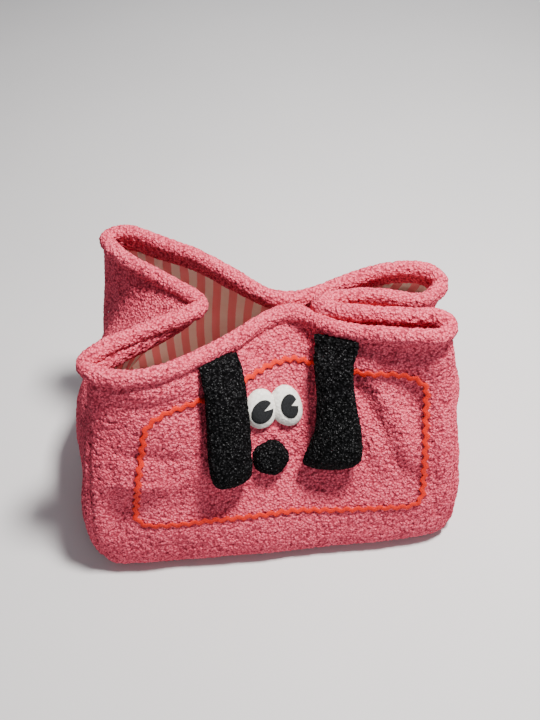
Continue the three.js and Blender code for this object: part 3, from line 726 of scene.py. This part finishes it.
def spread(piece, start_u, end_u, flip=False):
    """The place on the wall of each vertex of a grid: its share along and its share up."""
    co = places(piece)
    along, up = co[:, 0] + 0.5, co[:, 1] + 0.5
    along = 1 - along if flip else along
    return start_u + (end_u - start_u) * np.clip(along, 1e-6, 1 - 1e-6), up, along


def hang(piece, along_u, wall_body, fold):
    """Rides on the wall; a gusset piece instead only has its place baked into its mesh."""
    if fold is None:
        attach(piece, wall_body)
    else:
        follow_fold(piece, np.clip((along_u - fold[0]) / (fold[1] - fold[0]), 0, 1))


def make_panel(name, start_u, end_u, wall_body, fold):
    span = rim_span(start_u, end_u)
    grid_step = 1.66
    wide, high = max(int(span / grid_step), 60), 172
    piece = start_grid(f"panel_{name}", wide, high)
    u, up, along = spread(piece, start_u, end_u)
    v = up * wall_top(u, 6.0)
    # The seams at the sides, at the foot and under the roll pull the pile in.
    from_side, from_foot = np.minimum(along, 1 - along) * span, v * 270
    from_top = np.maximum(wall_top(u, 11.0) - v, 0) * 270
    pinch = 2.6 * np.exp(-((from_side / 4.0) ** 2)) + 2.0 * np.exp(-((from_foot / 5.0) ** 2))
    pinch += 0.8 * np.exp(-((from_top / 4.0) ** 2))
    lay(piece, over_wall(u, v, wall_outer - pinch))
    count = len(piece.data.vertices)
    thicken(piece, wall_outer - foam_inner - 1.2)
    rough_up(piece, count, *curls_of["panel"])
    finish_piece(piece, pink_sherpa, [f"sherpa_{name}", f"foam_{name}"], None)
    hang(piece, np.resize(u, len(piece.data.vertices)), wall_body, fold)
    return piece


panel_pieces = [make_panel(*part) for part in parts]

# %% [markdown]
# ## Rolls and facing
# The edge of the bag is a stuffed roll of the same sherpa, cut in six lengths between the
# corners and the folds. A narrow facing hangs inside it, where the lining begins. A roll is a
# round primitive drawn out along the rim line, which keeps its two ends closed.

# %% Rolls
# The mouth is pinched shut where the front roll meets the back roll, and the tip of the right
# fold is squeezed against them, so the stuffing is pushed out there.
front_rim, back_rim = (
    wall_middle(np.linspace(low, low + 0.2, 81), np.ones(81)) for low in (0.5, 2.3)
)
gaps = np.linalg.norm(front_rim[:, None] - back_rim[None], axis=2)
near_front, near_back = np.unravel_index(np.argmin(gaps), gaps.shape)
pinch_place = (front_rim[near_front] + back_rim[near_back]) / 2
fold_tip = wall_middle(np.array([right_crease]), np.ones(1))[0]
print("rolls meet at", pinch_place.round(0), "with their middles", round(gaps.min(), 1), "mm apart")


def make_roll(name, start_u, end_u, wall_body, fold):
    span = rim_span(start_u, end_u)
    rings = int(span / 1.5) + 2
    piece = start_ball(f"roll_{name}", 38, rings)
    co = places(piece)
    turn = np.arccos(np.clip(co[:, 2], -1, 1)) / np.pi
    along = np.clip((turn - 1 / rings) / (1 - 2 / rings), 0, 1)
    u = start_u + (end_u - start_u) * np.clip(along, 1e-6, 1 - 1e-6)
    middle, across, _, _ = wall_frame(u, np.ones_like(u))
    out = np.cross(across, [0.0, 0.0, 1.0])
    out /= np.linalg.norm(out, axis=1, keepdims=True)
    up = np.cross(out, across)
    angle = np.arctan2(co[:, 1], co[:, 0])
    pole = (turn < 0.5 / rings) | (turn > 1 - 0.5 / rings)
    from_end = np.minimum(along, 1 - along) * span
    from_pinch = np.linalg.norm(middle - pinch_place, axis=1)
    from_tip = np.linalg.norm(middle - fold_tip, axis=1)
    plump = 1.04 + 0.05 * swell(middle, 26.0, 9) - 0.12 * np.exp(-((from_end / 4.0) ** 2))
    plump += 0.22 * np.exp(-((from_pinch / 22) ** 2))
    plump += 0.45 * np.exp(-((from_tip / 11) ** 2))
    plump += 0.10 if name == "right_gusset_front" else 0
    radius = np.where(pole, 0.0, (roll_radius + 0.3) * plump)
    reach_out, reach_up = radius * np.cos(angle), radius * np.sin(angle)
    lay(piece, middle + out * reach_out[:, None] + up * reach_up[:, None])
    rough_up(piece, len(co), *curls_of["roll"])
    finish_piece(piece, pink_sherpa, [f"rim_roll_{name}"], None)
    hang(piece, u, wall_body, fold)
    return piece


roll_pieces = [make_roll(*part) for part in parts]

# %% Facing
facing_foot = top_seam_depth + 14.0


def make_facing(name, start_u, end_u, wall_body, fold):
    wide = max(int(rim_span(start_u, end_u) / 1.7), 30)
    piece = start_grid(f"facing_pad_{name}", wide, 18)
    u, up, along = spread(piece, start_u, end_u, flip=True)
    foot, head = wall_top(u, facing_foot), wall_top(u, top_seam_depth - 6.0)
    v = foot + (head - foot) * up
    crown = 0.8 + 5.2 * np.sin(np.pi * up) ** 0.6
    lay(piece, over_wall(u, v, lining_inner - crown))
    count = len(piece.data.vertices)
    thicken(piece, 1.6)
    rough_up(piece, count, *curls_of["facing"])
    finish_piece(piece, pink_sherpa, [f"facing_{name}"], None)
    hang(piece, np.resize(u, len(piece.data.vertices)), wall_body, fold)
    return piece


facing_pieces = [make_facing(*part) for part in parts]

# %% [markdown]
# ## The lining
# Six straight cuts of striped cotton hang inside the walls, and a seventh lies on the board.
# The size that each wall sheet was cut to before it was hung is worked out and printed.

# %% Lining
def paint_cloth(piece, across, down):
    """A UV map in metres of cloth, so that the weave and the stripes follow it."""
    layer = piece.data.uv_layers.get("UVMap") or piece.data.uv_layers.new(name="UVMap")
    corners = np.zeros(len(piece.data.loops), int)
    piece.data.loops.foreach_get("vertex_index", corners)
    cloth = np.stack([across, down], 1)[corners] / 1000
    layer.data.foreach_set("uv", cloth.astype(np.float32).ravel())


cloth_thickness = 1.0
cut_height = 0.262


def make_lining(name, start_u, end_u, wall_body, fold):
    span = rim_span(start_u, end_u)
    wide = max(int(span / 4.0), 24)
    piece = start_grid(f"lining_cloth_{name}", wide, 64)
    u, up, along = spread(piece, start_u, end_u, flip=True)
    v = up * wall_top(u, facing_foot)
    flat = np.stack([u * 320, v * 90, 0 * v], 1)
    wrinkle = swell(flat, 22.0, 21) + 0.5 * swell(flat * [2, 1, 1], 26.0, 22)
    wrinkle = np.maximum(wrinkle, 0) * 2.4
    wrinkle *= np.clip(up / 0.12, 0, 1) * np.clip(np.minimum(along, 1 - along) * span / 14, 0, 1)
    lay(piece, over_wall(u, v, lining_inner - wrinkle))
    paint_cloth(piece, along * span, v * rim_height)
    thicken(piece, cloth_thickness)
    finish_piece(piece, striped_cotton, [f"lining_{name}"], None)
    hang(piece, np.resize(u, len(piece.data.vertices)), wall_body, fold)
    side = min(int(start_u), 3)
    foot_span = bases[side][0][-1] * (end_u - start_u)
    flat_size = (max(span, foot_span) / 1000, cut_height)
    cut_area = (span + foot_span) / 2000 * cut_height
    print("  cut", [round(x, 3) for x in flat_size])
    return piece


lining_pieces = [make_lining(*part) for part in parts]

# %% Base and its lining
def wall_foot(u, inset):
    """Points on the foot line of the wall, moved out (or in, when inset is below 0)."""
    point, _, _, out = wall_frame(u, np.zeros_like(u))
    out[..., 2] = 0
    return point + out / np.linalg.norm(out, axis=-1, keepdims=True) * inset


def base_grid(name, top, count_x, count_y, inset):
    """A grid over the floor of the bag, drawn between the four foot lines."""
    piece = start_grid(name, count_x, count_y)
    s, t = (np.clip(places(piece)[:, k] + 0.5, 1e-6, 1 - 1e-6) for k in (0, 1))
    around = (s, 1 + t, 3 - s - 1e-6, 4 - t - 1e-6)
    front, right, back, left = (wall_foot(u, inset) for u in around)
    c0, c1, c2, c3 = (wall_foot(np.full(1, x), inset) for x in (0.0, 1.0, 2.0, 3.0))
    s, t = s[:, None], t[:, None]
    points = front * (1 - t) + back * t + left * (1 - s) + right * s
    points -= c0 * (1 - s) * (1 - t) + c1 * s * (1 - t) + c2 * s * t + c3 * (1 - s) * t
    points[:, 2] = top
    lay(piece, points)
    return piece, points


pad_thickness = 3.0
base_pad, _ = base_grid("base_pad", pad_thickness, 110, 80, -4.7)
thicken(base_pad, pad_thickness)
rough_up(base_pad, len(base_pad.data.vertices), *curls_of["base"])
low_side = places(base_pad) * 1000
low_side[:, 2] = np.clip(low_side[:, 2], 0.0, 3.2)
lay(base_pad, low_side)
finish_piece(base_pad, pink_sherpa, ["sherpa_base"], "bag_shell")

lining_floor, floor_points = base_grid("lining_cloth_base", 7.4, 90, 64, -5.0)
ripple = swell(floor_points, 45.0, 31) + 0.4 * swell(floor_points, 18.0, 32)
floor_points[:, 2] += np.maximum(ripple, 0) * 2.2
lay(lining_floor, floor_points)
paint_cloth(lining_floor, floor_points[:, 0], floor_points[:, 1])
thicken(lining_floor, cloth_thickness)
finish_piece(lining_floor, striped_cotton, ["lining_base"], "bag_shell")

# %% [markdown]
# ## The wavy braid
# Ric-rac is a flat braid woven in waves. It is sewn on as a rounded frame round the face. A
# ring primitive is bent to the frame's outline, its section is flattened to the braid, and
# each place is shifted sideways by the wave.

# %% Braid
def curve_points(pieces, count):
    """Points along straight and curved stretches, given by two or by three places."""
    rows = []
    for points in pieces:
        t = np.linspace(0, 1, count, endpoint=False)[:, None]
        p = np.array(points)
        if len(p) == 2:
            rows.append(p[0] * (1 - t) + p[1] * t)
        else:
            rows.append(p[0] * (1 - t) ** 2 + 2 * p[1] * t * (1 - t) + p[2] * t * t)
    return np.concatenate(rows + [np.array([pieces[0][0]])])


braid_outline = [
    [(0.115, 0.35), (0.145, 0.75)], [(0.145, 0.75), (0.15, 0.82), (0.22, 0.835)],
    [(0.22, 0.835), (0.50, 0.85)], [(0.50, 0.85), (0.86, 0.825)],
    [(0.86, 0.825), (0.935, 0.81), (0.932, 0.74)], [(0.932, 0.74), (0.918, 0.33)],
    [(0.918, 0.33), (0.917, 0.268), (0.87, 0.265)], [(0.87, 0.265), (0.55, 0.295)],
    [(0.55, 0.295), (0.17, 0.296)], [(0.17, 0.296), (0.118, 0.298), (0.115, 0.35)],
]
wave_pitch, wave_reach, braid_width, braid_thickness = 12.8, 2.1, 6.2, 1.8
braid_places = curve_points(braid_outline, 60)
braid_lengths, _ = measured(wall_middle(braid_places[:, 0], braid_places[:, 1]))
braid_total = braid_lengths[-1]
waves = round(braid_total / wave_pitch)
braid = start(
    "braid", bpy.ops.mesh.primitive_torus_add,
    major_segments=waves * 16, minor_segments=10, major_radius=1, minor_radius=0.25,
)
co = places(braid)
turn = np.mod(np.arctan2(co[:, 1], co[:, 0]) / (2 * np.pi), 1)
ring_out, ring_up = (np.hypot(co[:, 0], co[:, 1]) - 1) / 0.25, co[:, 2] / 0.25


def braid_middle(distance):
    distance = np.mod(distance, braid_total)
    u = np.interp(distance, braid_lengths, braid_places[:, 0])
    v = np.interp(distance, braid_lengths, braid_places[:, 1])
    return u, v


distance = turn * braid_total
u, v = braid_middle(distance)
point, _, _, out = wall_frame(u, v)
behind, ahead = (wall_middle(*braid_middle(distance + step)) for step in (-4, 4))
along = ahead - behind
along /= np.linalg.norm(along, axis=1, keepdims=True)
sideways = np.cross(along, out)
wave = wave_reach * np.sin(distance / braid_total * waves * 2 * np.pi)
square = np.sign(ring_out) * np.abs(ring_out) ** 0.6 * braid_width / 2
pile_depth = 2.6
lift = wall_outer + pile_depth + ring_up * braid_thickness / 2 + 0.25 * swell(point, 20.0, 41)
lift += relief(u, v)
lay(braid, point + sideways * (wave + square)[:, None] + out * lift[:, None])
finish_piece(braid, orange_braid, ["wavy_trim"], "front_wall")
print("braid length", round(braid_total), "mm,", waves, "waves")

# %% [markdown]
# ## The face
# The eyes are one stuffed white pad shaped like two ovals that meet, with a felt oval glued
# on each half. The nose is a stuffed black pad. Each is a round primitive whose upper half is
# drawn over the wall as a dome and whose lower half is flattened under it.

# %% Pads of the face
face_low = wall_outer + 1.0
front_span, front_rise = rims[0][0][-1], rim_height * 1.12
# The cloth hangs slanting there, and the pads are turned against it to look straight.
upright = 0.26


def make_mound(name, centre, outline, top_height, low_height, rings=40):
    """A closed pad. The outline is a list of points round it, and the two heights are
    functions of x, of y and of the share from the middle to the edge."""
    count = len(outline)
    piece = start_ball(name, count, rings)
    co = places(piece)
    turn = np.arctan2(co[:, 1], co[:, 0]) / (2 * np.pi)
    step = np.mod(np.round(turn * count).astype(int), count)
    share = np.clip(np.hypot(co[:, 0], co[:, 1]), 0, 1)
    flat = np.array(outline)[step] * share[:, None]
    x, y = flat[:, 0], flat[:, 1]
    height = np.where(co[:, 2] > -1e-4, top_height(x, y, share), low_height(x, y, share))
    u, v = centre[0] + (x - upright * y) / front_span, centre[1] + y / front_rise
    lay(piece, over_wall(u, v, height))
    return piece


eye_centre = (0.508, 0.701)
eye_ovals = [(-17.8, 3.5, 21.8), (15.8, -3.5, 20.4)]
eye_half_height, eye_thickness = 23, 11.5


def eye_dome(x, y):
    domes = []
    for middle_x, middle_y, half_width in eye_ovals:
        away = ((x - middle_x) / half_width) ** 2 + ((y - middle_y) / eye_half_height) ** 2
        domes.append(np.maximum(1 - away**1.7, 0) ** 0.5)
    high, low = np.maximum(*domes), np.minimum(*domes)
    return high - 0.07 * np.clip(1 - (high - low) / 0.2, 0, 1)


def eye_edge(count):
    """Points round the two ovals, seen from the middle between them."""
    points = []
    for k in range(count):
        angle = 2 * np.pi * k / count
        reach = np.linspace(0, 48, 900)
        inside = eye_dome(reach * np.cos(angle), reach * np.sin(angle)) > 0.02
        far = reach[inside][-1]
        points.append((far * np.cos(angle), far * np.sin(angle)))
    return points


def white_height(x, y, share):
    return face_low + eye_thickness * np.maximum(eye_dome(x, y), 0.05)


def flat_under(x, y, share):
    return face_low - 1.5 + 0 * x


eye_white = make_mound("eye_white", eye_centre, eye_edge(160), white_height, flat_under, 70)
rough_up(eye_white, len(eye_white.data.vertices), *curls_of["eyes"])
finish_piece(eye_white, white_plush, ["eye_cover", "eye_stuffing"], "front_wall")


# %% Pupils
pupil_half_height = 13.5


def pupil_edge(half_width):
    """Points round an oval with a wedge cut out of its right side."""
    angles = np.radians(np.linspace(25, 353, 84))
    rim = np.stack([half_width * np.cos(angles) + 3, pupil_half_height * np.sin(angles)], 1)
    notch = np.array([[4.0, 0.3]])
    closed = np.concatenate([rim, notch, rim[:1]])
    lengths, _ = measured(closed)
    where = np.linspace(0, lengths[-1], 128, endpoint=False)
    return np.stack([np.interp(where, lengths, closed[:, k]) for k in range(2)], 1)


def make_pupil(side, x_middle, y_middle, half_width):
    star_x = x_middle - 3
    edge = pupil_edge(half_width)
    first = int(np.argmin(np.abs(np.arctan2(edge[:, 1], edge[:, 0]))))
    edge = np.roll(edge, -first, axis=0)
    centre = (eye_centre[0] + star_x / front_span, eye_centre[1] + y_middle / front_rise)

    def under(x, y, share):
        return white_height(x + star_x, y + y_middle, share) + 0.3

    def over(x, y, share):
        return under(x, y, share) + 0.2 + 1.3 * (1 - share**8) ** 0.5

    pupil = make_mound(f"pupil_{side}", centre, edge, over, under)
    finish_piece(pupil, charcoal_felt, [f"{side}_pupil"], "front_wall")
    return pupil


pupils = [make_pupil("left", -20.0, 2, 16.0), make_pupil("right", 20.0, -4, 13.2)]

# %% Nose
nose_radius, nose_thickness = 20.5, 19
nose_angles = 2 * np.pi * np.arange(120) / 120
corner_swell = 1 + 0.035 * np.cos(5 * (nose_angles - math.radians(60)))
nose_reach = nose_radius * corner_swell
nose_edge = np.stack([nose_reach * np.cos(nose_angles), nose_reach * np.sin(nose_angles)], 1)
nose_edge[:, 0] *= 1.12 + 0.004 * nose_edge[:, 1]


def nose_top(x, y, share):
    return face_low + nose_thickness * (0.08 + 0.92 * (1 - share**2.6) ** 0.5)


nose = make_mound("nose_pad", (0.493, 0.518), nose_edge, nose_top, flat_under, 60)
rough_up(nose, len(nose.data.vertices), *curls_of["nose"])
finish_piece(nose, black_boucle, ["nose_cover", "nose_stuffing"], "front_wall")

# %% [markdown]
# ## The ears
# Each ear is a stuffed tube of black boucle, sewn flat into the seam under the front roll. It
# hangs in front of the wall and swings on that seam. The round primitive is drawn through
# stations that give its width and its thickness on the way down.

# %% Ears
def through(x, xs, ys):
    """A smooth line through points."""
    xs, ys = np.array(xs, float), np.array(ys, float)
    slope = np.gradient(ys, xs)
    k = np.clip(np.searchsorted(xs, x) - 1, 0, len(xs) - 2)
    h = xs[k + 1] - xs[k]
    t = (x - xs[k]) / h
    near = (1 + 2 * t) * (1 - t) ** 2 * ys[k] + t * (1 - t) ** 2 * h * slope[k]
    return near + ease(t) * ys[k + 1] + t * t * (t - 1) * h * slope[k + 1]


# Top and foot of each ear on the wall, then its stations: the share on the way down, the
# shift to the right, half the width and half the thickness.
ears = {
    "left": ((0.338, 0.0), (0.356, 0.455), [
        (0, 0, 24, 3), (0.07, 0.5, 24.5, 6.5), (0.22, 1.5, 24.5, 10.5), (0.4, 3, 24.5, 12.5),
        (0.58, 4.5, 24.5, 13.5), (0.75, 6, 24.5, 14), (0.87, 7.5, 23, 13.5), (0.94, 8, 19, 11),
        (0.98, 8.5, 12.5, 7.5), (1, 9, 5, 3.5),
    ]),
    "right": ((0.715, 0.0), (0.684, 0.46), [
        (0, 0, 27, 3), (0.08, 0, 25.5, 6.5), (0.22, 0.5, 22.5, 10), (0.38, 2, 20.5, 12),
        (0.54, 3, 22.5, 13.5), (0.7, 4, 25.5, 14), (0.84, 0, 30.5, 14), (0.92, -5, 32, 12),
        (0.97, -9, 26, 8), (1, -10, 14, 3.5),
    ]),
}
ear_length, ear_rings = 125, 90


def make_ear(side, ear_top, ear_foot, stations):
    piece = start_ball(f"ear_{side}", 96, ear_rings)
    co = places(piece)
    turn = np.arccos(np.clip(co[:, 2], -1, 1)) / np.pi
    # The rings are spread evenly along the ear's outline, round the tip too.
    down = np.linspace(0, 1, 400)
    columns = np.array(stations).T
    shift, half_width, half_thick = (through(down, columns[0], columns[k]) for k in (1, 2, 3))
    outline = [np.append(down, 1.0) * ear_length, np.append(half_width, 0.0)]
    lengths, _ = measured(np.stack(outline, 1))
    wanted = (1 - turn) * lengths[-1]

    def look(values, last):
        return np.interp(wanted, lengths, np.append(values, last))

    down_at, shift_at = look(down, 1.0), look(shift, shift[-1])
    wide_at, thick_at = look(half_width, 0.0), look(half_thick, half_thick[-1] * 0.3)
    wide_at = np.where(turn > 1 - 0.5 / ear_rings, 0.0, wide_at)
    u = ear_top[0] + (ear_foot[0] - ear_top[0]) * down_at
    high = wall_top(u, top_seam_depth - 4.0)
    v = high + (ear_foot[1] - high) * down_at
    point, across, _, out = wall_frame(u, v)
    angle = np.arctan2(co[:, 1], co[:, 0])
    box_x = np.sign(np.cos(angle)) * np.abs(np.cos(angle)) ** 0.88 * wide_at
    box_y = np.sin(angle) * np.where(wide_at > 0, thick_at, 0)
    tuck = np.clip(1 - down_at / 0.16, 0, 1)
    off_wall = wall_outer + 2.0 - 1.5 * tuck + thick_at + relief(u, v)
    lay(piece, point + across * (shift_at + box_x)[:, None] + out * (off_wall + box_y)[:, None])
    rough_up(piece, len(co), *curls_of["ear"])
    solids = [f"{side}_ear_cover", f"{side}_ear_stuffing"]
    finish_piece(piece, black_boucle, solids, f"{side}_ear")
    return piece


ear_pieces = [make_ear(side, *shape) for side, shape in ears.items()]
